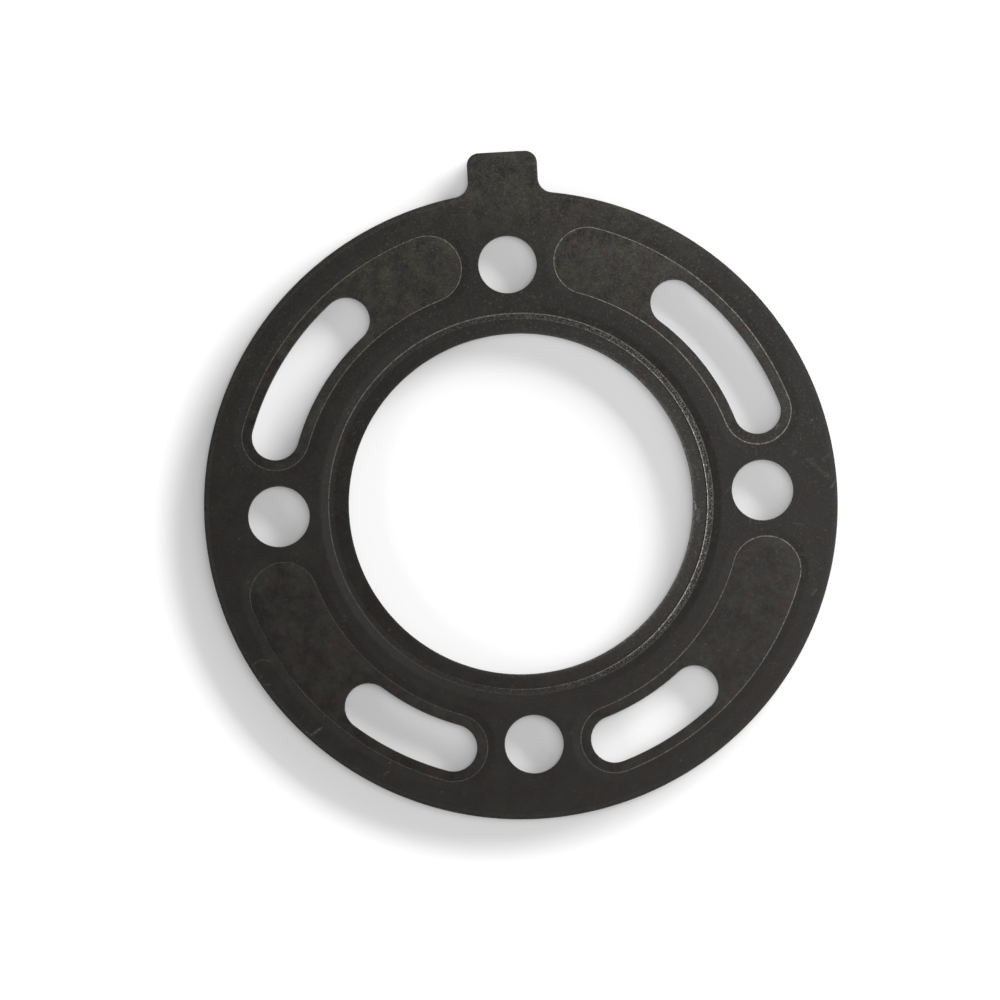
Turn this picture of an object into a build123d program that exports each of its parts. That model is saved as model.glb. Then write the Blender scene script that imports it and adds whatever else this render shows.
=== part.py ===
"""Round cylinder head gasket: one sheet of coated spring steel, pierced and embossed.

The sheet lies flat. Its origin is the centre of the bore, on the plane that the bore bead
rests on. +Z is up, towards the cylinder head, and +Y points to the locating tab.
"""

import os
from math import acos, atan2, degrees, tan, tau

from build123d import *

os.makedirs("parts", exist_ok=True)

# Driving dimensions, in millimetres.

# The sheet, and how its beads are pressed below the flat field
SHEET_THICKNESS = 0.5
BEAD_DEPTH = 0.16
FLANK_WIDTH = 1.2
SHOULDER_RADIUS = 3.0
SHOULDER_TO_CUT = 0.2

# The bore and its bead, from the bore outwards
BORE_DIAMETER = 49.7
LIP_WIDTH = 2.15
LIP_RISE = 0.15
BEAD_FLOOR_WIDTH = 0.8

# Flat land between the bore bead and the coolant pads
LAND_WIDTH = 1.7

# Coolant pads, measured between their creases: they are pressed less deep than the bore bead, and a
# heel rises from each crease to a flat middle
PAD_WIDTH = 9.8
PAD_DEPTH = 0.08
HEEL_WIDTH = 1.8
HEEL_RISE = 0.04

# Coolant slots pierced in the pads, and how far their centre lines run between the rounded ends
SLOT_MARGIN = 1.5
UPPER_SLOT_RUN = 20.1
LOWER_SLOT_RUN = 13.7

# Rim outside the pads
RIM_WIDTH = 4.1

# Stud holes: the two beside the bore are a little wider than the two above and below it
SIDE_STUD_HOLE_DIAMETER = 8.85
END_STUD_HOLE_DIAMETER = 8.45
STUD_INSET = 1.8
STUD_HOLE_TO_PAD = 2.3

# Locating tab
TAB_WIDTH = 10.2
TAB_LENGTH = 5.8
TAB_CORNER_RADIUS = 1.75
TAB_ROOT_RADIUS = 2.2

# Heights of the sheet's two faces in the flat field, and of its top at the foot of each flank
FIELD_BOTTOM = BEAD_DEPTH
FIELD_TOP = FIELD_BOTTOM + SHEET_THICKNESS
BEAD_FLOOR_TOP = FIELD_TOP - BEAD_DEPTH
PAD_FLOOR_TOP = FIELD_TOP - PAD_DEPTH

# The bend at a flank's shoulder: its underside is one thickness nearer to the bend's centre
INSIDE_SHOULDER_RADIUS = SHOULDER_RADIUS - SHEET_THICKNESS


def formed_edge(depth):
    """How far a formed edge reaches from its crease: the flank, half the bend and the flat beyond it."""
    return FLANK_WIDTH + SHOULDER_RADIUS * tan(atan2(depth, FLANK_WIDTH) / 2) + SHOULDER_TO_CUT



# Radii, from the bore outwards
BORE_RADIUS = BORE_DIAMETER / 2
INNER_CREASE_RADIUS = BORE_RADIUS + LIP_WIDTH
OUTER_CREASE_RADIUS = INNER_CREASE_RADIUS + BEAD_FLOOR_WIDTH
BEAD_SHOULDER_RADIUS = OUTER_CREASE_RADIUS + FLANK_WIDTH
BEAD_FORMED_RADIUS = OUTER_CREASE_RADIUS + formed_edge(BEAD_DEPTH)
PAD_HALF_WIDTH = PAD_WIDTH / 2
PAD_FORMED_HALF_WIDTH = PAD_HALF_WIDTH + formed_edge(PAD_DEPTH)
PAD_CIRCLE_RADIUS = BEAD_SHOULDER_RADIUS + LAND_WIDTH + FLANK_WIDTH + PAD_HALF_WIDTH
STUD_CIRCLE_RADIUS = PAD_CIRCLE_RADIUS - STUD_INSET
OUTER_RADIUS = PAD_CIRCLE_RADIUS + PAD_HALF_WIDTH + RIM_WIDTH

# A pad's rounded end is clear of the wider stud hole, by the law of cosines
PAD_END_TO_STUD = SIDE_STUD_HOLE_DIAMETER / 2 + STUD_HOLE_TO_PAD + PAD_HALF_WIDTH
PAD_END_COSINE = (PAD_CIRCLE_RADIUS**2 + STUD_CIRCLE_RADIUS**2 - PAD_END_TO_STUD**2) / (
    2 * PAD_CIRCLE_RADIUS * STUD_CIRCLE_RADIUS
)
PAD_END_ANGLE = degrees(acos(PAD_END_COSINE))

# Where +X, +Y and their opposites lie about the bore, and the pad's sweep from one stud to the next
RIGHT, TOP, LEFT, BOTTOM = (quarter * degrees(tau) / 4 for quarter in range(4))
PAD_SWEEP = TOP - RIGHT - 2 * PAD_END_ANGLE


def sheet_section(top_line, shoulder):
    """A cross-section of the sheet: its top line carried down by the thickness, bent at the shoulder."""
    bottom_line = [(across, height - SHEET_THICKNESS) for across, height in reversed(top_line)]
    section = make_face(Polyline(*top_line, *bottom_line, close=True))
    for height, radius in ((FIELD_TOP, SHOULDER_RADIUS), (FIELD_BOTTOM, INSIDE_SHOULDER_RADIUS)):
        corner = section.vertices().sort_by_distance((shoulder, height))[0]
        section = fillet(corner, radius)
    return section


def bore_bead():
    """The ring about the bore: a lip that rises to the bore, the bead's floor and its outer flank."""
    top_line = [
        (BORE_RADIUS, BEAD_FLOOR_TOP + LIP_RISE),
        (INNER_CREASE_RADIUS, BEAD_FLOOR_TOP),
        (OUTER_CREASE_RADIUS, BEAD_FLOOR_TOP),
        (BEAD_SHOULDER_RADIUS, FIELD_TOP),
        (BEAD_FORMED_RADIUS, FIELD_TOP),
    ]
    return revolve(Plane.XZ * sheet_section(top_line, BEAD_SHOULDER_RADIUS), Axis.Z)


def pad():
    """The first kidney-shaped pad: its section swept along the pads' circle and turned about each end."""
    shoulder = PAD_HALF_WIDTH + FLANK_WIDTH
    top_line = [
        (0, PAD_FLOOR_TOP + HEEL_RISE),
        (PAD_HALF_WIDTH - HEEL_WIDTH, PAD_FLOOR_TOP + HEEL_RISE),
        (PAD_HALF_WIDTH, PAD_FLOOR_TOP),
        (shoulder, FIELD_TOP),
        (PAD_FORMED_HALF_WIDTH, FIELD_TOP),
    ]
    half_section = Plane.XZ * sheet_section(top_line, shoulder)
    section = half_section + mirror(half_section, about=Plane.YZ)
    first_end = Rot(0, 0, PAD_END_ANGLE) * Pos(PAD_CIRCLE_RADIUS, 0, 0)
    last_end = Rot(0, 0, PAD_END_ANGLE + PAD_SWEEP) * Pos(PAD_CIRCLE_RADIUS, 0, 0)
    length = revolve(first_end * section, Axis.Z, PAD_SWEEP)
    rounded_end = revolve(half_section, Axis.Z, LEFT - RIGHT)
    return length + first_end * Rot(0, 0, LEFT) * rounded_end + last_end * rounded_end


def slot(start, run):
    """The plan of a coolant slot, one margin inside the creases of its pad."""
    centre_line = CenterArc((0, 0), PAD_CIRCLE_RADIUS, start, degrees(run / PAD_CIRCLE_RADIUS))
    return SlotArc(centre_line, PAD_WIDTH - 2 * SLOT_MARGIN)


def outline():
    """The plan of the sheet's outer edge: a disc with the locating tab on it."""
    reach = OUTER_RADIUS + TAB_LENGTH
    plan = Circle(OUTER_RADIUS) + Pos(0, reach / 2) * RectangleRounded(TAB_WIDTH, reach, TAB_CORNER_RADIUS)
    roots = plan.vertices().filter_by_position(Axis.Y, BORE_RADIUS, OUTER_RADIUS)
    return fillet(roots, TAB_ROOT_RADIUS)


def flat_field():
    """The plan of the sheet that stays flat: the outline less the formed rings and the stud holes."""
    pad_line = CenterArc((0, 0), PAD_CIRCLE_RADIUS, PAD_END_ANGLE, PAD_SWEEP)
    pad_plan = SlotArc(pad_line, 2 * PAD_FORMED_HALF_WIDTH)
    field = outline() - Circle(BEAD_FORMED_RADIUS)
    field -= [Rot(0, 0, turn) * pad_plan for turn in (RIGHT, TOP, LEFT, BOTTOM)]
    for turn, diameter in (
        (RIGHT, SIDE_STUD_HOLE_DIAMETER),
        (TOP, END_STUD_HOLE_DIAMETER),
        (LEFT, SIDE_STUD_HOLE_DIAMETER),
        (BOTTOM, END_STUD_HOLE_DIAMETER),
    ):
        field -= Rot(0, 0, turn) * Pos(STUD_CIRCLE_RADIUS, 0) * Circle(diameter / 2)
    return field


def gasket_plate():
    """The whole gasket as one solid sheet."""
    plate = extrude(Pos(0, 0, FIELD_BOTTOM) * flat_field(), SHEET_THICKNESS)
    plate += bore_bead()
    plate += [Rot(0, 0, turn) * pad() for turn in (RIGHT, TOP, LEFT, BOTTOM)]

    # The upper slots start beside the side studs, the lower ones beside the bottom stud, and each
    # has its mirror image across the gasket
    for start, run in ((PAD_END_ANGLE, UPPER_SLOT_RUN), (BOTTOM + PAD_END_ANGLE, LOWER_SLOT_RUN)):
        opening = extrude(slot(start, run), FIELD_TOP)
        plate -= [opening, mirror(opening, about=Plane.YZ)]
    return plate.solid()


part = gasket_plate()
part.label = "gasket_plate"
export_step(part, "parts/gasket_plate.step")
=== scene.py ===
"""A round cylinder head gasket of coated spring steel, dressed and lit for a studio photograph.

Lengths in the classes below are in millimetres about the centre of the bore, with +Z up and +Y
towards the locating tab. They become metres where a mesh, a lamp or the camera is made.
"""

import logging
import math
from dataclasses import dataclass, field
from enum import Enum, IntEnum

import bpy
import numpy as np
from mathutils import Matrix, Vector
from mathutils.geometry import delaunay_2d_cdt

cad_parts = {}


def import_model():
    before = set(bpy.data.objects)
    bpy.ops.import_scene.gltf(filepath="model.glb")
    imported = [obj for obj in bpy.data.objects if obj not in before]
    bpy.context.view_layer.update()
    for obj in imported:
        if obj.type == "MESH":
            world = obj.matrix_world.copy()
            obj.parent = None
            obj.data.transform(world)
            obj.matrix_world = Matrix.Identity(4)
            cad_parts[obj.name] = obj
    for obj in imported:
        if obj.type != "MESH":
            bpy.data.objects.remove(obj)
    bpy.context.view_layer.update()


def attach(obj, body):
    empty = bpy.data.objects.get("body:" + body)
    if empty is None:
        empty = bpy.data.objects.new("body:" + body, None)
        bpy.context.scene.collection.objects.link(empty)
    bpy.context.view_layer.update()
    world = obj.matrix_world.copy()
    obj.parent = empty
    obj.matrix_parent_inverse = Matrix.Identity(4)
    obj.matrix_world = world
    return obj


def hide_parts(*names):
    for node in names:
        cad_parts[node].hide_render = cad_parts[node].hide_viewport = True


LOG = logging.getLogger("gasket")
MM = 0.001
MERGE_DISTANCE = 1e-6
ANGLE_SLACK = 1e-9
Socket = bpy.types.NodeSocket
Pair = tuple[float, float]
Triple = tuple[float, float, float]
Colour = tuple[float, float, float, float]
Loops = tuple[np.ndarray, np.ndarray]


class Mark(IntEnum):
    """What a vertex carries for the finish to read.

    A mark is 0 where it doesn't show and about 1 where it does. It is more where the sheet is most
    worn, and on the bore and the pads also towards the lamps, as a painted highlight. The crease mark
    is below 0 on the lip just inside the bore's inner crease, where it paints the shade that the
    crease's ridge casts.
    """

    CREASE = 0
    EDGE = 1
    STRIP = 2
    PAD = 3


class Face(Enum):
    """The two faces of the sheet."""

    TOP = "top"
    UNDER = "under"


def directions(angles: np.ndarray) -> np.ndarray:
    """Unit vectors in the plane: the cosine and the sine of each angle.

    Args:
        angles: Angles from +X, in radians.

    Returns:
        One row of x and y for each angle.
    """
    return np.stack([np.cos(angles), np.sin(angles)], axis=-1)


def carried(section: np.ndarray, feet: np.ndarray, normals: np.ndarray) -> np.ndarray:
    """A profile carried along a path: each foot plus a row's distance times the foot's normal.

    Args:
        section: Rows that start with the distance along the normal and the height.
        feet: The path's points in plan, or the one point that it turns about.
        normals: The path's normals.

    Returns:
        Points, as rows of the profile by columns of the path by x, y and z.
    """
    grid = np.empty((len(section), len(normals), 3))
    grid[..., :2] = feet + section[:, None, :1] * normals
    grid[..., 2] = section[:, 1:2]
    return grid


def marks_of(rows: int, columns: int, **values: np.ndarray) -> np.ndarray:
    """Marks for the vertices of a strip.

    Args:
        rows: How many rows the strip has.
        columns: How many columns it has.
        **values: One value a row for each mark that isn't zero, by the mark's name.

    Returns:
        The marks, as rows by columns by marks.
    """
    marks = np.zeros((rows, columns, len(Mark)))
    for name, value in values.items():
        marks[..., Mark[name.upper()]] = value[:, None]
    return marks


@dataclass(frozen=True)
class WearAndHighlight:
    """How strong a mark is round the gasket, most at one heading and least opposite it. On the bore's
    creases, knurled strip and edge and on the pads' creases it is wear plus a painted highlight
    strongest towards the lamps; on the rim it sets how much bare steel shows.
    """

    heading: float
    least: float
    most: float
    power: float = 1.0

    def at(self, angles: np.ndarray) -> np.ndarray:
        """The least strength, and the rest times a power of the raised cosine about the heading."""
        share = 0.5 + 0.5 * np.cos(angles - math.radians(self.heading))
        return self.least + (self.most - self.least) * share**self.power


@dataclass(frozen=True)
class Sheet:
    """The spring steel sheet and the way its beads are pressed below the flat field."""

    thickness: float = 0.5
    bead_depth: float = 0.16
    flank_width: float = 1.2
    shoulder_radius: float = 3.0
    formed_width: float = 1.75
    crease_ridge: float = 0.018
    crease_half_width: float = 0.045

    @property
    def field_top(self) -> float:
        """Height of the flat field's top."""
        return self.bead_depth + self.thickness

    def flank(self, out: np.ndarray, face: Face, depth: float) -> np.ndarray:
        """Height of a flank: a straight slope, a circular shoulder tangent to it, then the field.

        Args:
            out: Distance outwards from the crease at the flank's foot.
            face: The face of the sheet.
            depth: How far the crease is pressed below the field.

        Returns:
            The height at each distance.
        """
        top = face is Face.TOP
        level = self.field_top if top else self.bead_depth
        radius = self.shoulder_radius - (0.0 if top else self.thickness)
        slope = depth / self.flank_width
        angle = math.atan(slope)
        setback = radius * math.tan(angle / 2)
        centre = self.flank_width + setback
        start = self.flank_width - setback * math.cos(angle)
        reach = np.clip(out - centre, -radius, 0.0)
        arc = level - radius + np.sqrt(radius**2 - reach**2)
        return np.where(out < start, level - depth + slope * out, arc)

    def flank_rows(self, face: Face) -> np.ndarray:
        """Where a flank and its shoulder get a row.

        Args:
            face: The face of the sheet.

        Returns:
            Distances outwards from the crease.
        """
        if face is Face.UNDER:
            return np.array([0.0, 0.5, 0.95, 1.1, 1.25, 1.46, self.formed_width])
        rows = [0.11, 0.2, 0.4, 0.65, 0.9, 1.02, 1.14, 1.26, 1.38, 1.51, self.formed_width]
        return np.array(rows)


@dataclass
class SheetMesh:
    """One closed mesh put together from strips and triangles that share their vertices."""

    points: list[np.ndarray] = field(default_factory=list)
    marks: list[np.ndarray] = field(default_factory=list)
    quads: list[np.ndarray] = field(default_factory=list)
    triangles: list[np.ndarray] = field(default_factory=list)
    count: int = 0

    def strip(self, grid: np.ndarray, marks: np.ndarray) -> np.ndarray:
        """Adds a profile carried along a closed path: quads between neighbouring rows and columns.

        The path runs anticlockwise, and the rows run towards a hole on the underside and away
        from it on top, or over the rim from the top to the underside.

        Args:
            grid: Points, as rows of the profile by columns of the path by x, y and z.
            marks: The marks, as rows by columns by marks.

        Returns:
            The index of each vertex, as rows by columns.
        """
        rows, columns = grid.shape[:2]
        index = self.count + np.arange(rows * columns).reshape(rows, columns)
        after = np.roll(index, -1, axis=1)
        corners = np.stack([index[:-1], index[1:], after[1:], after[:-1]], axis=-1)
        self.quads.append(corners.reshape(-1, 4))
        self.points.append(grid.reshape(-1, 3))
        self.marks.append(marks.reshape(-1, len(Mark)))
        self.count += rows * columns
        return index

    def positions(self) -> np.ndarray:
        """Every vertex so far, in the order of its index."""
        return np.concatenate(self.points)

    def fill(self, top: list[np.ndarray], under: list[np.ndarray]) -> None:
        """Closes the flat field between loops, on both faces, with one triangulation.

        The first loop is the outer one and the others are holes in it. A triangle stays if its
        centre is inside the first loop and outside the others, by counting crossings of a ray.

        Args:
            top: The loops' vertices on top, each anticlockwise.
            under: The vertices right under them, in the same order.
        """
        flat = self.positions()[np.concatenate(top)][:, :2]
        ends = np.cumsum([len(loop) for loop in top])
        starts = ends - [len(loop) for loop in top]
        edges = [
            (first + step, first + (step + 1) % (last - first))
            for first, last in zip(starts.tolist(), ends.tolist())
            for step in range(last - first)
        ]
        points = [Vector(point) for point in flat.tolist()]
        result = delaunay_2d_cdt(points, edges, [], 0, MERGE_DISTANCE)
        origin = np.array([known[0] for known in result[3]])
        corners = origin[np.array(result[2])]
        centre = flat[corners].mean(axis=1)
        keep = np.zeros(len(corners), dtype=bool)
        for first, last in zip(starts, ends):
            a = flat[first:last]
            b = np.roll(a, -1, axis=0)
            above_a = a[None, :, 1] > centre[:, None, 1]
            above_b = b[None, :, 1] > centre[:, None, 1]
            rise = np.where(a[:, 1] == b[:, 1], 1.0, b[:, 1] - a[:, 1])
            cross = a[:, 0] + (centre[:, None, 1] - a[:, 1]) * (b[:, 0] - a[:, 0]) / rise
            hits = (above_a != above_b) & (cross > centre[:, None, 0])
            keep ^= hits.sum(axis=1) % 2 == 1
        corners = corners[keep]
        self.triangles.append(np.concatenate(top)[corners])
        self.triangles.append(np.concatenate(under)[corners][:, ::-1])

    def build(self, name: str, sharp: float) -> bpy.types.Object:
        """Makes the object, in metres, with its marks as vertex attributes.

        Args:
            name: The object's name.
            sharp: Edges that bend by more than this many degrees are shaded as sharp.

        Returns:
            The new object, linked to the scene's collection.
        """
        quads = np.concatenate(self.quads)
        triangles = np.concatenate(self.triangles)
        mesh = bpy.data.meshes.new(name)
        mesh.vertices.add(self.count)
        mesh.vertices.foreach_set("co", (self.positions() * MM).astype(np.float32).ravel())
        corners = np.concatenate([quads.ravel(), triangles.ravel()]).astype(np.int32)
        mesh.loops.add(len(corners))
        mesh.loops.foreach_set("vertex_index", corners)
        sizes = np.repeat([4, 3], [len(quads), len(triangles)])
        mesh.polygons.add(len(sizes))
        mesh.polygons.foreach_set("loop_start", (np.cumsum(sizes) - sizes).astype(np.int32))
        mesh.polygons.foreach_set("use_smooth", np.ones(len(sizes), dtype=bool))
        mesh.update(calc_edges=True)
        mesh.set_sharp_from_angle(angle=math.radians(sharp))
        marks = np.concatenate(self.marks)
        for mark in Mark:
            layer = mesh.attributes.new(mark.name.lower(), "FLOAT", "POINT")
            layer.data.foreach_set("value", marks[:, mark].astype(np.float32))
        piece = bpy.data.objects.new(name, mesh)
        bpy.context.scene.collection.objects.link(piece)
        count = 2 * len(quads) + len(triangles)
        LOG.info("%s: %d vertices, %d triangles", name, self.count, count)
        return piece


@dataclass(frozen=True)
class BoreBead:
    """The ring about the bore: its lip, the knurled floor between two creases, and its flank."""

    sheet: Sheet
    bore_radius: float = 24.85
    inner_crease: float = 27.0
    outer_crease: float = 27.8
    lip_rise: float = 0.15
    columns: int = 720
    knurl_height: float = 0.014
    knurl_range: Pair = (-0.5, 1.0)
    # Besides wear, these lobes paint highlight on the creases, the knurled strip and the bore's edge,
    # strongest towards the lamps; the inner one also deepens the painted shade beside the inner
    # crease.
    inner_wear_highlight_and_shade: WearAndHighlight = WearAndHighlight(-8.0, 0.10, 1.9, 4.0)
    outer_wear_and_highlight: WearAndHighlight = WearAndHighlight(75.0, 0.12, 0.97)
    strip_wear_and_highlight: WearAndHighlight = WearAndHighlight(10.0, 0.05, 1.05, 1.5)
    edge_wear_and_highlight: WearAndHighlight = WearAndHighlight(-20.0, 0.3, 2.4, 2.0)
    seed: int = 11

    def flank(self, face: Face) -> np.ndarray:
        """The flank's rows, from the crease outwards.

        Args:
            face: The face of the sheet.

        Returns:
            Rows of radius and height, and of the three marks, which are 0.
        """
        out = self.sheet.flank_rows(face)
        height = self.sheet.flank(out, face, self.sheet.bead_depth)
        return np.stack([self.outer_crease + out, height, *np.zeros((3, len(out)))], axis=1)

    def section(self) -> np.ndarray:
        """The whole profile, from the underside over the lip to the top.

        Returns:
            Rows of radius and height, and of the marks for crease, edge and strip.
        """
        bore, inner, outer = self.bore_radius, self.inner_crease, self.outer_crease
        foot, rise, width = self.sheet.thickness, self.lip_rise, inner - bore
        low, high = rise, rise + foot
        lip = np.array([
            (inner, 0.0, 0, 0, 0),
            (inner - 0.5 * width, 0.5 * rise, 0, 0, 0),
            (bore + 0.10, low - 0.007, 0, 0, 0),
            (bore + 0.02, low + 0.012, 0, 0.3, 0),
            (bore, low + 0.05, 0, 0.3, 0),
            (bore, high - 0.24, 0, 0.0, 0),
            (bore, high - 0.05, 0, 0.4, 0),
            (bore + 0.015, high - 0.016, 0, 0.8, 0),
            (bore + 0.06, high - 0.004, 0, 1.0, 0),
            (bore + 0.14, high - 0.010, 0, 0.55, 0),
            (bore + 0.16 * width, foot + 0.84 * rise, 0, 0.18, 0),
            (bore + 0.30 * width, foot + 0.70 * rise, 0, 0.05, 0),
            (bore + 0.55 * width, foot + 0.45 * rise, 0, 0.04, 0),
            (bore + 0.80 * width, foot + 0.20 * rise, 0, 0.02, 0),
            (inner - 0.20, foot + 0.014, 0, 0, 0),
            # Crease marks below 0 on these two rows: painted shade that the crease's ridge casts onto
            # the lip.
            (inner - 0.14, foot + 0.010, -0.6, 0, 0),
            (inner - 0.06, foot + 0.004, -0.6, 0, 0),
            (inner - 0.02, foot + 0.001, 1.0, 0, 0.4),
            (inner + 0.05, foot - 0.022, 1.0, 0, 0.9),
            (inner + 0.10, foot - 0.028, 0.2, 0, 1.0),
            (inner + 0.25, foot - 0.027, 0, 0, 1.0),
            (inner + 0.38, foot - 0.026, 0, 0, 1.0),
            (inner + 0.52, foot - 0.024, 0, 0, 1.0),
            (outer - 0.12, foot - 0.020, 0, 0, 1.0),
            (outer - 0.04, foot - 0.002, 0.8, 0, 0.2),
            (outer + 0.04, foot + 0.014, 0.8, 0, 0),
        ])
        return np.concatenate([self.flank(Face.UNDER)[::-1], lip, self.flank(Face.TOP)])

    def build(self, mesh: SheetMesh) -> Loops:
        """Turns the profile about the bore's axis: radius times the direction of each angle.

        Args:
            mesh: The mesh to add to.

        Returns:
            The flat field's loops about it, on top and on the underside.
        """
        section = self.section()
        angles = np.linspace(0.0, math.tau, self.columns, endpoint=False)
        grid = carried(section, np.zeros(2), directions(angles))
        knurl = np.random.default_rng(self.seed).uniform(*self.knurl_range, grid.shape[:2])
        crease, edge, strip = section[:, 2:].T
        grid[..., 2] += self.knurl_height * knurl * (strip == 1.0)[:, None]
        marks = marks_of(*grid.shape[:2], crease=crease, edge=edge, strip=strip)
        # The lobes lay painted highlight, and painted shade beside the inner crease, over the wear,
        # strongest towards the lamps.
        inner = section[:, :1] < (self.inner_crease + self.outer_crease) / 2
        wear = np.where(inner, self.inner_wear_highlight_and_shade.at(angles), self.outer_wear_and_highlight.at(angles))
        marks[..., Mark.CREASE] *= wear
        marks[..., Mark.STRIP] *= self.strip_wear_and_highlight.at(angles)
        marks[..., Mark.EDGE] *= self.edge_wear_and_highlight.at(angles)
        index = mesh.strip(grid, marks)
        return index[-1], index[0]


@dataclass(frozen=True)
class Pad:
    """A kidney-shaped coolant pad, pressed down between its creases and pierced by one slot.

    The rows inside the crease are pairs: how near to it, and the share of the rest of the way to
    the slot.
    """

    sheet: Sheet
    start: float
    slot_start: float
    slot_end: float
    sweep: float = 53.17
    radius: float = 36.8
    half_width: float = 4.9
    pressed: float = 0.08
    slot_margin: float = 1.5
    heel_width: float = 1.8
    heel_rise: float = 0.04
    # Wear on the crease, plus a painted highlight strongest towards the lamps at the upper right.
    wear: WearAndHighlight = WearAndHighlight(40.0, 0.18, 0.95)
    outer_columns: int = 112
    inner_columns: int = 86
    cap_columns: int = 48
    under_rows: tuple[Pair, ...] = ((0.35, 0.0), (0.8, 0.05), (1.2, 0.3))
    top_rows: tuple[Pair, ...] = (
        (1.29, 0.75),
        (1.20, 0.45),
        (1.08, 0.22),
        (0.95, 0.10),
        (0.78, 0.05),
        (0.6, 0.02),
        (0.4, 0.005),
        (0.2, 0.0),
        (0.11, 0.0),
    )

    def path(self) -> tuple[np.ndarray, np.ndarray, np.ndarray]:
        """The pad's centre line and its outward normals, once round: two arcs and two end caps.

        Returns:
            The foot of each normal, the normal, and the foot's angle about the bore.
        """
        first, last = math.radians(self.start), math.radians(self.start + self.sweep)
        outer = np.linspace(first, last, self.outer_columns, endpoint=False)
        inner = np.linspace(last, first, self.inner_columns, endpoint=False)
        turn = np.linspace(0.0, math.pi, self.cap_columns, endpoint=False)
        still = np.ones_like(turn)
        angle = np.concatenate([outer, last * still, inner, first * still])
        facing = np.concatenate([outer, last + turn, inner + math.pi, first + math.pi + turn])
        return self.radius * directions(angle), directions(facing), angle

    def depth(self, flat: np.ndarray) -> np.ndarray:
        """Distance inwards from the crease: half the width less the distance to the centre line.

        Args:
            flat: Points in plan.

        Returns:
            The distance of each point.
        """
        middle = math.radians(self.start + self.sweep / 2)
        half = math.radians(self.sweep / 2)
        angle = np.arctan2(flat[..., 1], flat[..., 0]) - middle
        angle = (angle + math.pi) % math.tau - math.pi
        nearest = self.radius * directions(middle + np.clip(angle, -half, half))
        return self.half_width - np.linalg.norm(flat - nearest, axis=-1)

    @property
    def foot(self) -> float:
        """Height of the underside at the crease."""
        return self.sheet.bead_depth - self.pressed

    def floor(self, flat: np.ndarray) -> np.ndarray:
        """Height of the floor's underside: a parabola that rises from the crease and levels out."""
        share = np.clip(self.depth(flat) / self.heel_width, 0.0, 1.0)
        return self.foot + self.heel_rise * (1.0 - (1.0 - share) ** 2)

    def slot_path(
        self, crease: np.ndarray, feet: np.ndarray, normals: np.ndarray, angle: np.ndarray
    ) -> tuple[np.ndarray, np.ndarray]:
        """The slot's centre line and normals, matched to the pad's columns.

        Beside the slot they are the pad's own. Past one of its ends they are rays from the centre
        of that rounded end to the crease.

        Args:
            crease: The crease at each column.
            feet: The pad's centre line at each column.
            normals: The pad's normals.
            angle: The feet's angles about the bore.

        Returns:
            The foot of each of the slot's normals, and the normal.
        """
        low, high = math.radians(self.slot_start), math.radians(self.slot_end)
        end = self.radius * directions(np.clip(angle, low, high))
        ray = crease - end
        ray /= np.linalg.norm(ray, axis=-1, keepdims=True)
        beside = (angle >= low - ANGLE_SLACK) & (angle <= high + ANGLE_SLACK)
        beside = beside[:, None]
        return np.where(beside, feet, end), np.where(beside, normals, ray)

    def build(self, mesh: SheetMesh) -> Loops:
        """Carries the sheet's profile round the pad, from the underside through the slot to the top.

        Outside the crease a row is the centre line moved out along its normals. Inside it, a row
        lies on the rays between the crease and the slot, near the crease at a steady distance
        from it and then at a share of the ray.

        Args:
            mesh: The mesh to add to.

        Returns:
            The flat field's loops about it, on top and on the underside.
        """
        feet, normals, angle = self.path()
        crease = feet + self.half_width * normals
        slot_feet, slot_normals = self.slot_path(crease, feet, normals, angle)
        slot_half = self.half_width - self.slot_margin
        slot = slot_feet + slot_half * slot_normals
        length = np.linalg.norm(crease - slot, axis=-1)
        ray = (slot - crease) / length[:, None]
        rise_of = {Face.UNDER: 0.0, Face.TOP: self.sheet.thickness}
        rows: list[np.ndarray] = []
        marks: list[tuple[float, ...]] = []

        def add(flat: np.ndarray, height: np.ndarray | float, *row_marks: float) -> None:
            """Adds one row of the profile: its points in plan, their height and the row's marks."""
            rows.append(np.concatenate([flat, np.broadcast_to(height, len(flat))[:, None]], axis=1))
            marks.append(row_marks)

        def add_outside(out: float, face: Face, *row_marks: float) -> None:
            """Adds a row outside the crease, at that distance from it."""
            height = float(self.sheet.flank(np.array(out), face, self.pressed))
            add(feet + (self.half_width + out) * normals, height, *row_marks)

        def add_inside(near: float, share: float, face: Face) -> None:
            """Adds a row inside the crease, on the rays to the slot."""
            flat = crease + ray * (near + share * (length - self.slot_margin))[:, None]
            add(flat, self.floor(flat) + rise_of[face], 0, 0, 1)

        for out in self.sheet.flank_rows(Face.UNDER)[::-1]:
            add_outside(float(out), Face.UNDER, 0, 0, 0)
        for near, share in self.under_rows:
            add_inside(near, share, Face.UNDER)
        under = self.floor(slot)
        top = under + self.sheet.thickness
        for back, height, edge in (
            (0.13, under, 0.0),
            (0.05, under, 0.0),
            (0.01, under + 0.015, 0.2),
            (0.0, under + 0.05, 0.2),
            (0.0, top - 0.05, 0.4),
            (0.012, top - 0.014, 0.8),
            (0.05, top, 0.6),
            (0.13, top, 0.0),
        ):
            add(slot + back * slot_normals, height, 0, edge, 1)
        for near, share in self.top_rows:
            add_inside(near, share, Face.TOP)
        ridge = self.foot + self.sheet.thickness + self.sheet.crease_ridge
        for side in (-1.0, 1.0):
            add(crease + side * self.sheet.crease_half_width * normals, ridge, 1, 0, 0.5)
        for out in self.sheet.flank_rows(Face.TOP):
            add_outside(float(out), Face.TOP, 0, 0, 0)
        bent, edge, pressed = np.array(marks, dtype=float).T
        strip_marks = marks_of(len(rows), len(crease), crease=bent, edge=edge, pad=pressed)
        # Crease marks are worn steel plus a painted highlight, strongest towards the lamps.
        strip_marks[..., Mark.CREASE] *= self.wear.at(np.arctan2(crease[:, 1], crease[:, 0]))
        index = mesh.strip(np.stack(rows), strip_marks)
        return index[-1], index[0]


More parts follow.
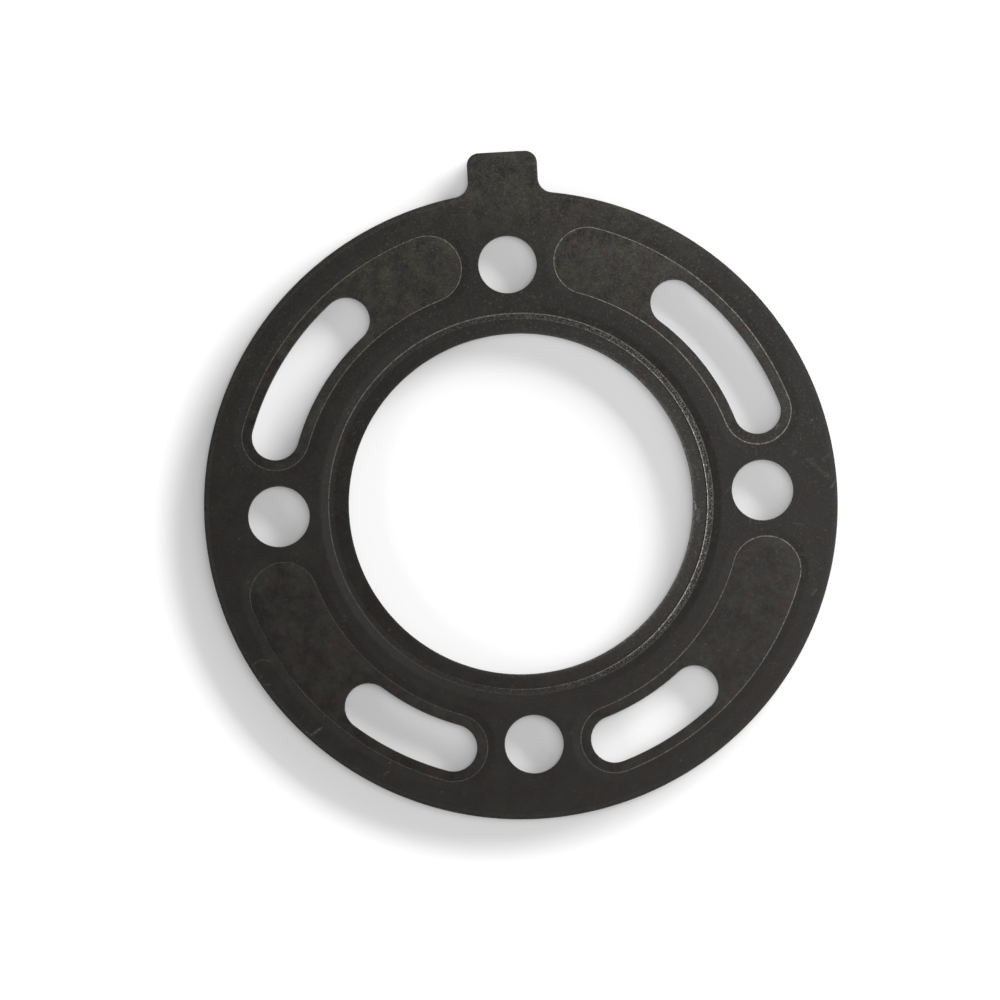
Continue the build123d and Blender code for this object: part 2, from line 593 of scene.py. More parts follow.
@dataclass(frozen=True)
class StudHole:
    """A round hole for a stud, pierced in the flat field."""

    sheet: Sheet
    angle: float
    radius: float
    circle_radius: float = 35.0
    collar: float = 0.4
    columns: int = 112

    def build(self, mesh: SheetMesh) -> Loops:
        """Turns the hole's wall and its two edges about the hole's own axis.

        Args:
            mesh: The mesh to add to.

        Returns:
            The flat field's loops about it, on top and on the underside.
        """
        low, high = self.sheet.bead_depth, self.sheet.field_top
        section = np.array([
            (self.collar, low, 0),
            (0.06, low, 0),
            (0.015, low + 0.015, 0.2),
            (0.0, low + 0.05, 0.2),
            (0.0, high - 0.05, 0.3),
            (0.012, high - 0.014, 0.8),
            (0.05, high, 0.6),
            (0.13, high, 0),
            (self.collar, high, 0),
        ])
        section[:, 0] += self.radius
        centre = self.circle_radius * directions(np.array(math.radians(self.angle)))
        around = directions(np.linspace(0.0, math.tau, self.columns, endpoint=False))
        marks = marks_of(len(section), self.columns, edge=section[:, 2])
        index = mesh.strip(carried(section, centre, around), marks)
        return index[-1], index[0]


@dataclass(frozen=True)
class Rim:
    """The sheet's outer edge: a disc with the locating tab, rolled down a little where it was cut."""

    sheet: Sheet
    radius: float = 45.8
    tab_width: float = 10.2
    tab_length: float = 5.8
    tab_corner: float = 1.75
    tab_root: float = 2.2
    wear: WearAndHighlight = WearAndHighlight(165.0, 0.35, 1.45)
    rub: WearAndHighlight = WearAndHighlight(122.0, 0.0, 0.7, 20.0)
    rub_row: int = 2
    disc_columns: int = 620
    corner_columns: int = 14
    side_columns: int = 6
    end_columns: int = 12

    def path(self) -> tuple[np.ndarray, np.ndarray]:
        """The outline and its outward normals, once round.

        The pieces are the disc's long arc, the tab's hollow root, its side, its rounded corner and
        its end, then the same pieces mirrored.

        Returns:
            The outline's points, and the normal at each.
        """
        half = self.tab_width / 2
        root_x = half + self.tab_root
        root_y = math.sqrt((self.radius + self.tab_root) ** 2 - root_x**2)
        tangent = math.atan2(root_y, root_x)
        end = self.radius + self.tab_length
        corner = np.array([half - self.tab_corner, end - self.tab_corner])
        disc = directions(
            np.linspace(math.pi - tangent, math.tau + tangent, self.disc_columns, endpoint=False)
        )
        hollow = directions(np.linspace(tangent, 0.0, self.corner_columns, endpoint=False))
        rounded = directions(np.linspace(0.0, math.pi / 2, self.corner_columns))
        side_end = corner + (self.tab_corner, 0.0)
        side = np.linspace((half, root_y), side_end, self.side_columns, endpoint=False)
        across = np.linspace(corner[0], 0.0, self.end_columns, endpoint=False)[1:]
        top = np.stack([across, np.full_like(across, end)], axis=1)
        right = [
            (np.array([root_x, root_y]) - self.tab_root * hollow, hollow),
            (side, np.tile((1.0, 0.0), (len(side), 1))),
            (corner + self.tab_corner * rounded, rounded),
            (top, np.tile((0.0, 1.0), (len(across), 1))),
        ]
        whole = []
        for round_disc, parts, middle in zip((self.radius * disc, disc), zip(*right), (end, 1.0)):
            right_half = np.concatenate(parts)
            left_half = right_half[::-1] * (-1.0, 1.0)
            whole.append(np.concatenate([round_disc, right_half, [(0.0, middle)], left_half]))
        return whole[0], whole[1]

    def build(self, mesh: SheetMesh) -> Loops:
        """Carries the edge's profile round the outline, from the top over the edge to the underside.

        Args:
            mesh: The mesh to add to.

        Returns:
            The flat field's loops about it, on top and on the underside.
        """
        low, high = self.sheet.bead_depth, self.sheet.field_top
        section = np.array([
            (0.95, high, 0),
            (0.84, high, 0),
            (0.77, high - 0.001, 0),
            (0.70, high - 0.003, 0.16),
            (0.45, high - 0.009, 0.16),
            (0.22, high - 0.021, 0.18),
            (0.10, high - 0.036, 0.3),
            (0.04, high - 0.058, 0.8),
            (0.0, high - 0.12, 0.6),
            (0.0, low + 0.06, 0.2),
            (0.02, low + 0.015, 0.2),
            (0.08, low, 0),
            (0.95, low, 0),
        ])
        points, normals = self.path()
        marks = marks_of(len(section), len(points), edge=section[:, 2])
        heading = np.arctan2(points[:, 1], points[:, 0])
        marks[..., Mark.EDGE] *= self.wear.at(heading)
        marks[self.rub_row, :, Mark.EDGE] = self.rub.at(heading)
        index = mesh.strip(carried(section, points, -normals), marks)
        return index[0], index[-1]


@dataclass(frozen=True)
class Noise:
    """A noise from 0 to 1 about 0.5, and the smooth step that makes a mask of it."""

    patches_per_mm: float
    detail: float
    roughness: float
    start: Triple | None = None
    step: Pair = (0.0, 1.0)


@dataclass
class Graph:
    """A node tree with short ways to add its nodes."""

    tree: bpy.types.NodeTree

    def node(self, kind: str, **settings: object) -> bpy.types.Node:
        """Adds a node.

        Args:
            kind: The node's type.
            **settings: Its properties, by name.

        Returns:
            The new node.
        """
        made = self.tree.nodes.new(kind)
        for name, value in settings.items():
            setattr(made, name, value)
        return made

    def feed(self, socket: Socket, value: object) -> None:
        """Gives a socket its input.

        Args:
            socket: The input socket.
            value: A socket to link to it, or its value.
        """
        if isinstance(value, Socket):
            self.tree.links.new(value, socket)
        else:
            socket.default_value = value

    def fed(self, made: bpy.types.Node, values: dict, out: int = 0) -> Socket:
        """Gives a node its inputs.

        Args:
            made: The node.
            values: Its inputs, by name or by place.
            out: The place of the output to return.

        Returns:
            That output.
        """
        for place, value in values.items():
            self.feed(made.inputs[place], value)
        return made.outputs[out]

    def math(self, operation: str, *values: object, clamp: bool = False) -> Socket:
        """A math node on up to three values."""
        made = self.node("ShaderNodeMath", operation=operation, use_clamp=clamp)
        return self.fed(made, dict(enumerate(values)))

    def times(self, first: object, second: object, clamp: bool = False) -> Socket:
        """The product of two values."""
        return self.math("MULTIPLY", first, second, clamp=clamp)

    def line(self, value: object, slope: object, start: object, clamp: bool = False) -> Socket:
        """A value times a slope, plus a start."""
        return self.math("MULTIPLY_ADD", value, slope, start, clamp=clamp)

    def centred(self, noise: Socket) -> Socket:
        """A noise moved to lie about 0."""
        return self.math("SUBTRACT", noise, 0.5)

    def vector(self, operation: str, *values: object, out: int = 0) -> Socket:
        """A vector math node on one or two vectors."""
        made = self.node("ShaderNodeVectorMath", operation=operation)
        return self.fed(made, dict(enumerate(values)), out)

    def scaled(self, vector: object, scale: object) -> Socket:
        """A vector or a colour times a value."""
        made = self.node("ShaderNodeVectorMath", operation="SCALE")
        return self.fed(made, {0: vector, "Scale": scale})

    def dot(self, first: Socket, second: object) -> Socket:
        """The dot product of two vectors."""
        return self.vector("DOT_PRODUCT", first, second, out=1)

    def length(self, vector: Socket) -> Socket:
        """The length of a vector."""
        return self.vector("LENGTH", vector, out=1)

    def noise(self, place: Socket, noise: Noise) -> Socket:
        """A noise over the surface.

        Args:
            place: Where on the surface, in millimetres.
            noise: The noise.

        Returns:
            Its value.
        """
        values = {
            "Vector": self.vector("ADD", place, noise.start) if noise.start else place,
            "Scale": noise.patches_per_mm,
            "Detail": noise.detail,
            "Roughness": noise.roughness,
        }
        return self.fed(self.node("ShaderNodeTexNoise"), values)

    def step(self, value: Socket, low: float, high: float) -> Socket:
        """A smooth step from 0 at low to 1 at high."""
        made = self.node("ShaderNodeMapRange", interpolation_type="SMOOTHSTEP")
        return self.fed(made, {"Value": value, "From Min": low, "From Max": high})

    def mask(self, place: Socket, noise: Noise) -> Socket:
        """A noise put through its smooth step."""
        return self.step(self.noise(place, noise), *noise.step)

    def mix(self, share: object, first: object, second: object) -> Socket:
        """A blend of two colours."""
        made = self.node("ShaderNodeMix", data_type="RGBA")
        return self.fed(made, {0: share, 6: first, 7: second}, 2)

    def mark(self, mark: Mark) -> Socket:
        """A mark of the piece's vertices."""
        return self.node("ShaderNodeAttribute", attribute_name=mark.name.lower()).outputs["Fac"]

    def group(self, tree: bpy.types.NodeTree, **values: object) -> Socket:
        """A node group with its inputs set by name."""
        return self.fed(self.node("ShaderNodeGroup", node_tree=tree), values)


def new_group(name: str, kinds: dict[str, str]) -> tuple[Graph, list[Socket], Socket]:
    """An empty shader node group that puts out a mask.

    Args:
        name: The group's name.
        kinds: The kind of each input, by its name.

    Returns:
        Its graph, its inputs and its output.
    """
    tree = bpy.data.node_groups.new(name, "ShaderNodeTree")
    for label, kind in kinds.items():
        tree.interface.new_socket(label, in_out="INPUT", socket_type=f"NodeSocket{kind}")
    tree.interface.new_socket("Mask", in_out="OUTPUT", socket_type="NodeSocketFloat")
    graph = Graph(tree)
    given, result = graph.node("NodeGroupInput"), graph.node("NodeGroupOutput")
    return graph, [given.outputs[label] for label in kinds], result.inputs[0]


@dataclass(frozen=True)
class Effects:
    """The node groups that finishes share, built once."""

    scuff: bpy.types.NodeTree
    specks: bpy.types.NodeTree

    @classmethod
    def build(cls) -> "Effects":
        """Makes the groups."""
        return cls(cls.make_scuff(), cls.make_specks())

    @staticmethod
    def make_scuff() -> bpy.types.NodeTree:
        """A line rubbed into the surface: 1 on the segment from start to end, 0 a width away.

        Returns:
            The group.
        """
        kinds = {"Point": "Vector", "Start": "Vector", "End": "Vector", "Width": "Float"}
        graph, (point, start, end, width), mask = new_group("scuff_line", kinds)
        along = graph.vector("SUBTRACT", end, start)
        away = graph.vector("SUBTRACT", point, start)
        reach = graph.math("DIVIDE", graph.dot(away, along), graph.dot(along, along), clamp=True)
        gap = graph.length(graph.vector("SUBTRACT", away, graph.scaled(along, reach)))
        graph.feed(mask, graph.math("SUBTRACT", 1.0, graph.math("DIVIDE", gap, width), clamp=True))
        return graph.tree

    @staticmethod
    def make_specks() -> bpy.types.NodeTree:
        """Round flecks scattered over the surface, one in some of the cells of a Voronoi pattern.

        A cell's random colour tells whether it has a fleck, how large and how strong.

        Returns:
            The group.
        """
        smallest, faintest = 0.35, 0.3
        kinds = {"Point": "Vector", "Scale": "Float", "Size": "Float", "Cover": "Float"}
        graph, (point, scale, size, cover), mask = new_group("flecks", kinds)
        cells = graph.node("ShaderNodeTexVoronoi", voronoi_dimensions="2D")
        colour = graph.fed(cells, {"Vector": point, "Scale": scale}, 1)
        chance = graph.node("ShaderNodeSeparateColor")
        graph.feed(chance.inputs[0], colour)
        chosen = graph.math("LESS_THAN", chance.outputs[0], cover)
        radius = graph.times(size, graph.math("ADD", chance.outputs[1], smallest))
        share = graph.math("DIVIDE", cells.outputs["Distance"], radius)
        fleck = graph.math("SUBTRACT", 1.0, share, clamp=True)
        strength = graph.line(chance.outputs[2], 1.0 - faintest, faintest)
        graph.feed(mask, graph.times(graph.times(fleck, strength), chosen))
        return graph.tree


@dataclass(frozen=True)
class Scuff:
    """One rubbed line on the sheet, in plan."""

    start: Pair
    end: Pair
    width: float = 0.22
    strength: float = 0.6


@dataclass(frozen=True)
class Share:
    """How strong an effect is: everywhere, and what the handled top, the lip and the pads add."""

    base: float = 0.0
    handled: float = 0.0
    lip: float = 0.0
    pad: float = 0.0


@dataclass(frozen=True)
class Surface:
    """The places, marks and masks that the steps of the sheet's finish share."""

    graph: Graph
    point: Socket
    flat: Socket
    pad: Socket
    knurled: Socket
    crease: Socket
    # Where the crease mark is below 0: the painted shade beside the bore's inner crease.
    hollow: Socket
    handled: Socket
    lip: Socket
    dust_and_sheen: Socket
    mottle: Socket
    grain: Socket
    worn: Socket

    def share(self, share: Share, base: Socket | None = None) -> Socket:
        """The strength of an effect: its base, plus each region's mask times what it adds.

        Args:
            share: The strengths.
            base: A base that changes over the surface, in place of the share's own.

        Returns:
            The strength at each place.
        """
        total: object = share.base if base is None else base
        regions = ((self.handled, share.handled), (self.lip, share.lip), (self.pad, share.pad))
        for mask, amount in regions:
            if amount:
                total = self.graph.line(mask, amount, total)
        return total


@dataclass(frozen=True)
class CoatedSteel:
    """Black rubber-coated spring steel, handled: mottled, grainy, burnished on its creases, with
    painted highlights, glints and sheen strongest towards the lamps, and a painted shadow beside the
    bore's inner crease.

    A slope is for each millimetre across the sheet. A step runs from its first value to its
    second, and a line is a factor and what is added to the product.
    """

    # Colours
    coating: Colour = (0.0161, 0.0147, 0.0122, 1.0)
    olive: Colour = (0.0215, 0.0210, 0.0135, 1.0)
    rust: Colour = (0.0200, 0.0108, 0.0088, 1.0)
    # Pale flecks: partly dust, partly painted glints.
    fleck: Colour = (0.22, 0.215, 0.18, 1.0)
    # Bare steel; on the creases, knurl and bore's edge it also carries painted highlights and glints.
    steel: Triple = (0.34, 0.33, 0.305)

    # Gloss, roughness, metal and bump
    gloss: float = 0.31
    grain_roughness: Pair = (0.22, 0.36)
    mottle_roughness: float = 0.25
    bare_roughness: float = -0.2
    painted_shadow_roughness: float = 0.4
    metal: float = 0.5
    bump_height: float = 0.018
    tick_bump: float = 6.0
    mottle_bump: float = 0.8

    # Regions: where dust and painted sheen grow, towards the upper right, where the sheet was
    # handled, and the right of the bore's lip
    dust_and_sheen_slope: Triple = (0.0074, 0.0174, 0.0)
    least_dust_and_sheen: float = 0.45
    handled_slope: Triple = (0.004, 0.020, 0.0)
    handled_step: Pair = (0.66, 0.98)
    lip_step: Pair = (27.0, 26.5)
    lip_slope: Triple = (0.038, 0.006, 0.0)

    # How light the coating is
    mottle: Noise = Noise(0.30, 4.0, 0.6)
    islands: Noise = Noise(0.95, 3.0, 0.65)
    patchy: Share = Share(0.75, handled=1.9, pad=1.2)
    cloud: Noise = Noise(0.07, 2.0, 0.5)
    cloudy: float = 0.35
    grain: Noise = Noise(3.2, 3.0, 0.75)
    grainy: float = 1.5
    coarse: Share = Share(handled=0.4, lip=1.3)
    coarse_pad: float = 0.8
    # Lighter regions: the handled top, and the pads, whose lightening grows towards the upper right
    # as painted sheen.
    lightened: Share = Share(handled=0.95)
    pad_tone_and_sheen: Pair = (0.45, -0.05)
    # How much the painted shadow beside the bore's inner crease darkens the coating.
    painted_shadow_depth: float = -0.8

    # Its stains
    stains: Noise = Noise(0.36, 3.0, 0.6, (40.0, 0.0, 0.0))
    stain_slope: Triple = (-0.0006, 0.0008, 0.0)
    olive_step: Pair = (0.52, 0.72)
    olive_share: Share = Share(0.45, lip=0.35, pad=0.4)
    rust_step: Pair = (0.48, 0.34)
    rust_share: Share = Share(0.45, lip=0.35, pad=0.15)

    # Pale flecks: partly dust, partly painted glints on the grain, more towards the upper right
    spread: Noise = Noise(0.16, 3.0, 0.6, (0.0, 70.0, 0.0))
    dust_and_sheen_cover: float = 0.5
    spread_cover: Pair = (1.6, -0.95)
    lip_cover: Share = Share(lip=0.45)
    fine_flecks: Noise = Noise(2.8, 3.0, 0.7, (0.0, 0.0, 30.0), (0.56, 0.74))
    fine_strength: float = 0.40
    rare_scale: float = 1.1
    rare_size: float = 0.22
    rare_cover: float = 0.30
    rare_strength: float = 0.24

    # Bare steel: ticks on the knurl, creases with gaps, edges, and painted glints
    wear: Noise = Noise(3.0, 3.0, 0.7)
    wear_line: Pair = (3.4, -1.2)
    ticks: Noise = Noise(5.5, 2.0, 0.6, (0.0, 0.0, 9.0), (0.49, 0.62))
    tick_strength: float = 0.34
    crease_line: Pair = (0.85, 0.15)
    crease_strength: float = 0.85
    gaps: Noise = Noise(2.2, 2.0, 0.6, (0.0, 0.0, 21.0), (0.48, 0.38))
    gap_strength: float = 0.9
    edge_strength: float = 0.3
    scuff_strength: float = 0.4
    painted_glints: Noise = Noise(4.0, 2.0, 0.6, (0.0, 0.0, 33.0), (0.50, 0.62))
    painted_glint_strength: float = 1.4
    scuffs: tuple[Scuff, ...] = (
        Scuff((-39.87, -21.36), (-39.27, -20.88), 0.2, 0.5),
        Scuff((-39.27, -20.88), (-38.39, -20.67), 0.2, 0.6),
        Scuff((-38.39, -20.67), (-37.39, -20.91), 0.2, 0.4),
        Scuff((-38.6, -22.9), (-39.17, -23.61), 0.2, 0.5),
        Scuff((-38.57, -24.28), (-37.56, -24.33), 0.22, 0.5),
        Scuff((-32.87, -31.32), (-31.98, -31.98), 0.28, 0.5),
        Scuff((-31.98, -31.98), (-30.44, -31.0), 0.28, 0.9),
        Scuff((-30.8, -33.32), (-31.42, -34.01), 0.2, 0.4),
        Scuff((-21.83, -38.29), (-21.08, -37.76), 0.2, 0.5),
        Scuff((25.1, -1.2), (25.2, -2.3), 0.22, 2.0),
        Scuff((25.6, -2.7), (25.3, -3.9), 0.40, 0.9),
        Scuff((34.48, 5.96), (34.43, 5.17), 0.18, 0.4),
        Scuff((29.58, -0.19), (30.41, 0.73), 0.25, 0.4),
        Scuff((33.02, -4.08), (32.91, -4.66), 0.2, 0.5),
        Scuff((39.11, -5.05), (40.63, -5.42), 0.2, 0.3),
        Scuff((44.9, -0.13), (45.6, 0.84), 0.25, 0.6),
        Scuff((41.2, -15.6), (41.8, -15.0), 0.25, 0.5),
        Scuff((41.79, 4.14), (44.79, 1.2), 0.4, 0.3),
        Scuff((45.3, 4.82), (43.95, 4.02), 0.35, 0.3),
        Scuff((42.6, 9.5), (42.8, 9.8), 0.3, 0.35),
        Scuff((39.8, 5.0), (39.9, 5.3), 0.3, 0.35),
        Scuff((37.5, 8.8), (37.7, 9.3), 0.3, 0.7),
    )

    def surface(self, graph: Graph) -> Surface:
        """Finds the places, marks and masks of the sheet.

        Dust, and painted sheen with it, grow along their slope towards the upper right from a least
        value.
        The handled top is a smooth step along its own slope. The lip is a smooth step of the distance
        from the bore's centre, times a slope.

        Args:
            graph: The material's graph.

        Returns:
            What the steps of the finish share.
        """
        place = graph.node("ShaderNodeTexCoord").outputs["Object"]
        point = graph.scaled(place, 1.0 / MM)
        flat = graph.vector("MULTIPLY", point, (1.0, 1.0, 0.0))
        # Grows towards the upper right: dust, and painted sheen where the lamps fall.
        dust_and_sheen = graph.math("ADD", graph.dot(flat, self.dust_and_sheen_slope), 1.0)
        lip = graph.step(graph.length(flat), *self.lip_step)
        crease = graph.mark(Mark.CREASE)
        return Surface(
            graph=graph,
            point=point,
            flat=flat,
            pad=graph.mark(Mark.PAD),
            knurled=graph.mark(Mark.STRIP),
            crease=crease,
            # The painted shadow's mask: the crease mark where it is below 0.
            hollow=graph.times(crease, -1.0, clamp=True),
            handled=graph.step(graph.dot(flat, self.handled_slope), *self.handled_step),
            lip=graph.times(lip, graph.dot(flat, self.lip_slope), clamp=True),
            dust_and_sheen=graph.math("MAXIMUM", dust_and_sheen, self.least_dust_and_sheen),
            mottle=graph.noise(point, self.mottle),
            grain=graph.noise(point, self.grain),
            worn=graph.line(graph.noise(point, self.wear), *self.wear_line, clamp=True),
        )

    def shade(self, sheet: Surface) -> Socket:
        """How light the coating is: patches, clouds and grain about 1, times the lightened regions
        and the painted shadow.

        Args:
            sheet: What the steps share.

        Returns:
            The factor of the coating's colour.
        """
        graph = sheet.graph
        islands = graph.centred(graph.noise(sheet.point, self.islands))
        patches = graph.math("ADD", graph.centred(sheet.mottle), islands)
        shade = graph.line(patches, sheet.share(self.patchy), 1.0)
        cloud = graph.centred(graph.noise(sheet.point, self.cloud))
        shade = graph.line(cloud, self.cloudy, shade)
        # Grain shows more where dust and painted sheen grow, and more on the pads there.
        more_dust_and_sheen = graph.math("MAXIMUM", graph.math("SUBTRACT", sheet.dust_and_sheen, 1.0), 0.0)
        coarse = sheet.share(self.coarse, sheet.dust_and_sheen)
        coarse = graph.line(graph.times(more_dust_and_sheen, sheet.pad), self.coarse_pad, coarse)
        shade = graph.line(graph.times(graph.centred(sheet.grain), self.grainy), coarse, shade)
        # The pads are lighter towards the upper right: their own tone plus painted sheen.
        pad = graph.times(sheet.pad, graph.line(sheet.dust_and_sheen, *self.pad_tone_and_sheen))
        lightened = sheet.share(self.lightened, pad)
        shade = graph.times(shade, graph.math("ADD", lightened, 1.0))
        # Darkens the coating in the painted shadow beside the bore's inner crease.
        return graph.times(shade, graph.line(sheet.hollow, self.painted_shadow_depth, 1.0))

    def coat(self, sheet: Surface) -> Socket:
        """The coating's colour: olive where the stain noise is high, rust where it is low.

        Args:
            sheet: What the steps share.

        Returns:
            The colour.
        """
        graph = sheet.graph
        drift = graph.dot(sheet.flat, self.stain_slope)
        stain = graph.math("ADD", graph.noise(sheet.point, self.stains), drift)
        olive = graph.times(graph.step(stain, *self.olive_step), sheet.share(self.olive_share))
        rust = graph.times(graph.step(stain, *self.rust_step), sheet.share(self.rust_share))
        colour = graph.mix(rust, graph.mix(olive, self.coating, self.olive), self.rust)
        return graph.scaled(colour, self.shade(sheet))

    def flecks(self, sheet: Surface, effects: Effects) -> Socket:
        """Pale flecks where dust and painted sheen grow, partly dust and partly painted glints: fine
        ones by a noise, and rare round ones.

        Args:
            sheet: What the steps share.
            effects: The shared node groups.

        Returns:
            Their mask.
        """
        graph = sheet.graph
        cover = graph.line(graph.noise(sheet.point, self.spread), *self.spread_cover)
        cover = graph.line(sheet.dust_and_sheen, self.dust_and_sheen_cover, cover, clamp=True)
        cover = sheet.share(self.lip_cover, cover)
        fine = graph.times(graph.mask(sheet.point, self.fine_flecks), self.fine_strength)
        rare = graph.group(
            effects.specks,
            Point=sheet.flat,
            Scale=self.rare_scale,
            Size=self.rare_size,
            Cover=graph.times(cover, self.rare_cover),
        )
        return graph.math("MAXIMUM", graph.times(fine, cover), graph.times(rare, self.rare_strength))

    def knurl(self, sheet: Surface) -> Socket:
        """The mask of the ticks on the knurl."""
        ticks = sheet.graph.mask(sheet.flat, self.ticks)
        return sheet.graph.times(sheet.knurled, sheet.graph.times(ticks, self.tick_strength))

    def bare(self, sheet: Surface, effects: Effects, knurl: Socket) -> Socket:
        """Where the coating is worn off, plus painted highlight towards the lamps on the bore and
        pads: creases, ticks, edges and scuffs.

        Args:
            sheet: What the steps share.
            effects: The shared node groups.
            knurl: The mask of the ticks on the knurl.

        Returns:
            The mask of bare steel.
        """
        graph = sheet.graph
        crease = graph.times(sheet.crease, graph.line(sheet.worn, *self.crease_line))
        gaps = graph.times(sheet.knurled, self.gap_strength)
        gaps = graph.times(graph.mask(sheet.flat, self.gaps), gaps)
        crease = graph.times(crease, graph.math("SUBTRACT", 1.0, gaps, clamp=True))
        edge = graph.times(graph.mark(Mark.EDGE), graph.times(sheet.worn, self.edge_strength))
        rest = graph.math("MAXIMUM", knurl, edge)
        bare = graph.line(crease, self.crease_strength, rest, clamp=True)
        for scuff in self.scuffs:
            mask = graph.group(
                effects.scuff,
                Point=sheet.flat,
                Start=(*scuff.start, 0.0),
                End=(*scuff.end, 0.0),
                Width=scuff.width,
            )
            broken = graph.times(sheet.worn, self.scuff_strength * scuff.strength)
            bare = graph.math("MAXIMUM", bare, graph.times(mask, broken))
        return bare

    def steel_colour(self, sheet: Surface) -> Socket:
        """The bare steel's colour, brighter in painted glints on the knurl."""
        painted_glints = sheet.graph.times(sheet.graph.mask(sheet.flat, self.painted_glints), sheet.knurled)
        return sheet.graph.scaled(self.steel, sheet.graph.line(painted_glints, self.painted_glint_strength, 1.0))

    def build(self, effects: Effects) -> bpy.types.Material:
        """Makes the material on the piece's own coordinates.

        Args:
            effects: The shared node groups.

        Returns:
            The material.
        """
        material = bpy.data.materials.new("coated_steel")
        material.use_nodes = True
        graph = Graph(material.node_tree)
        sheet = self.surface(graph)
        knurl = self.knurl(sheet)
        bare = self.bare(sheet, effects, knurl)
        colour = graph.mix(self.flecks(sheet, effects), self.coat(sheet), self.fleck)

        rough = graph.line(sheet.grain, *self.grain_roughness)
        rough = graph.line(graph.centred(sheet.mottle), self.mottle_roughness, rough)
        rough = graph.line(bare, self.bare_roughness, rough)
        # Rougher in the painted shadow beside the bore's inner crease.
        rough = graph.line(sheet.hollow, self.painted_shadow_roughness, rough, clamp=True)
        height = graph.line(sheet.mottle, self.mottle_bump, sheet.grain)
        height = graph.line(knurl, self.tick_bump, height)
        bump = {"Strength": 1.0, "Distance": self.bump_height * MM, "Height": height}
        values = {
            "Base Color": graph.mix(bare, colour, self.steel_colour(sheet)),
            "Roughness": rough,
            "Specular IOR Level": self.gloss,
            "Metallic": graph.times(bare, self.metal),
            "Normal": graph.fed(graph.node("ShaderNodeBump"), bump),
        }
        graph.fed(material.node_tree.nodes["Principled BSDF"], values)
        return material


@dataclass(frozen=True)
class Gasket:
    """The whole gasket: one sheet with its bore bead, four pads, four stud holes and its rim."""

    sheet: Sheet = Sheet()
    side_stud_radius: float = 4.425
    end_stud_radius: float = 4.225
    pad_start: float = 18.414
    upper_slot_sweep: float = 31.29
    lower_slot_sweep: float = 21.33
    sharp_bend: float = 42.0

    def pads(self) -> list[Pad]:
        """Places the pads: upper slots start at the side studs, lower ones at the bottom stud.

        Returns:
            The four pads, anticlockwise from the upper right.
        """
        sweep = 90.0 - 2 * self.pad_start
        pads = []
        for turn, run, at_start in (
            (0.0, self.upper_slot_sweep, True),
            (90.0, self.upper_slot_sweep, False),
            (180.0, self.lower_slot_sweep, False),
            (270.0, self.lower_slot_sweep, True),
        ):
            start = turn + self.pad_start
            slot_start = start if at_start else start + sweep - run
            pads.append(Pad(self.sheet, start, slot_start, slot_start + run, sweep))
        return pads

    def build(self, finish: CoatedSteel, effects: Effects) -> bpy.types.Object:
        """Builds the sheet as one closed mesh and dresses it.

        Args:
            finish: The sheet's finish.
            effects: The shared node groups.

        Returns:
            The finished piece.
        """
        mesh = SheetMesh()
        side, end = self.side_stud_radius, self.end_stud_radius
        radii = {0.0: side, 90.0: end, 180.0: side, 270.0: end}
        holes = [StudHole(self.sheet, angle, radius) for angle, radius in radii.items()]
        parts = [Rim(self.sheet), BoreBead(self.sheet), *self.pads(), *holes]
        loops = [part.build(mesh) for part in parts]
        mesh.fill([loop[0] for loop in loops], [loop[1] for loop in loops])
        piece = mesh.build("pressed_sheet", self.sharp_bend)
        piece.data.materials.append(finish.build(effects))
        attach(piece, "root")
        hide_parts("gasket_plate")
        LOG.info("gasket: %d formed and pierced features", len(parts))
        return piece


@dataclass(frozen=True)
class View:
    """The photographer's camera: its tilt from straight above, its turn, distance and lens."""

    tilt_back: float = 7.477
    tilt_side: float = 0.284
    turn: float = 3.148
    distance: float = 1109.8
    lens: float = 276.3
    sensor: float = 36.0
    aim: Pair = (-2.975, 0.717)
    sight: float = 50_000.0

    def axes(self) -> tuple[Vector, Vector, Vector]:
        """Turns the plan's axes by the turn, and tilts the line of sight between them.

        Returns:
            The picture's right, its up, and the way to the camera, as unit vectors.
        """
        turn, side, tilt = map(math.radians, (self.turn, self.tilt_side, self.tilt_back))
        right = Vector((math.cos(turn), -math.sin(turn), 0.0))
        ahead = Vector((math.sin(turn), math.cos(turn), 0.0))
        back = right * math.sin(side) - ahead * math.sin(tilt)
        back.z = math.sqrt(1.0 - back.length_squared)
        up = (ahead - back * ahead.dot(back)).normalized()
        return up.cross(back), up, back

    def build(self) -> None:
        """Makes the camera and gives it to the scene."""
        right, up, back = self.axes()
        data = bpy.data.cameras.new("photographer")
        data.lens = self.lens
        data.sensor_width = self.sensor
        data.clip_end = self.sight * MM
        camera = bpy.data.objects.new("photographer", data)
        place = (Vector((*self.aim, 0.0)) + back * self.distance) * MM
        turned = Matrix((right, up, back)).transposed().to_4x4()
        camera.matrix_world = Matrix.Translation(place) @ turned
        bpy.context.scene.collection.objects.link(camera)
        bpy.context.scene.camera = camera
        LOG.info("camera at %s mm", [round(value / MM, 1) for value in place])


@dataclass(frozen=True)
class Lamp:
    """A softbox: where it stands by heading and height angle, how large it is and its power."""

    name: str
    heading: float
    height: float
    distance: float
    size: Pair
    power: float
    floor_only: bool = False

    def build(self, floor: bpy.types.Collection) -> None:
        """Makes the lamp, turned to the middle of the gasket.

        Args:
            floor: The collection that a lamp for the floor alone shines on.
        """
        heading, height = math.radians(self.heading), math.radians(self.height)
        way = Vector((math.cos(heading), math.sin(heading), math.tan(height))).normalized()
        data = bpy.data.lights.new(self.name, "AREA")
        data.shape = "RECTANGLE"
        data.size, data.size_y = (side * MM for side in self.size)
        data.energy = self.power
        lamp = bpy.data.objects.new(self.name, data)
        lamp.location = way * self.distance * MM
        lamp.rotation_euler = way.to_track_quat("Z", "Y").to_euler()
        if self.floor_only:
            lamp.light_linking.receiver_collection = floor
        bpy.context.scene.collection.objects.link(lamp)


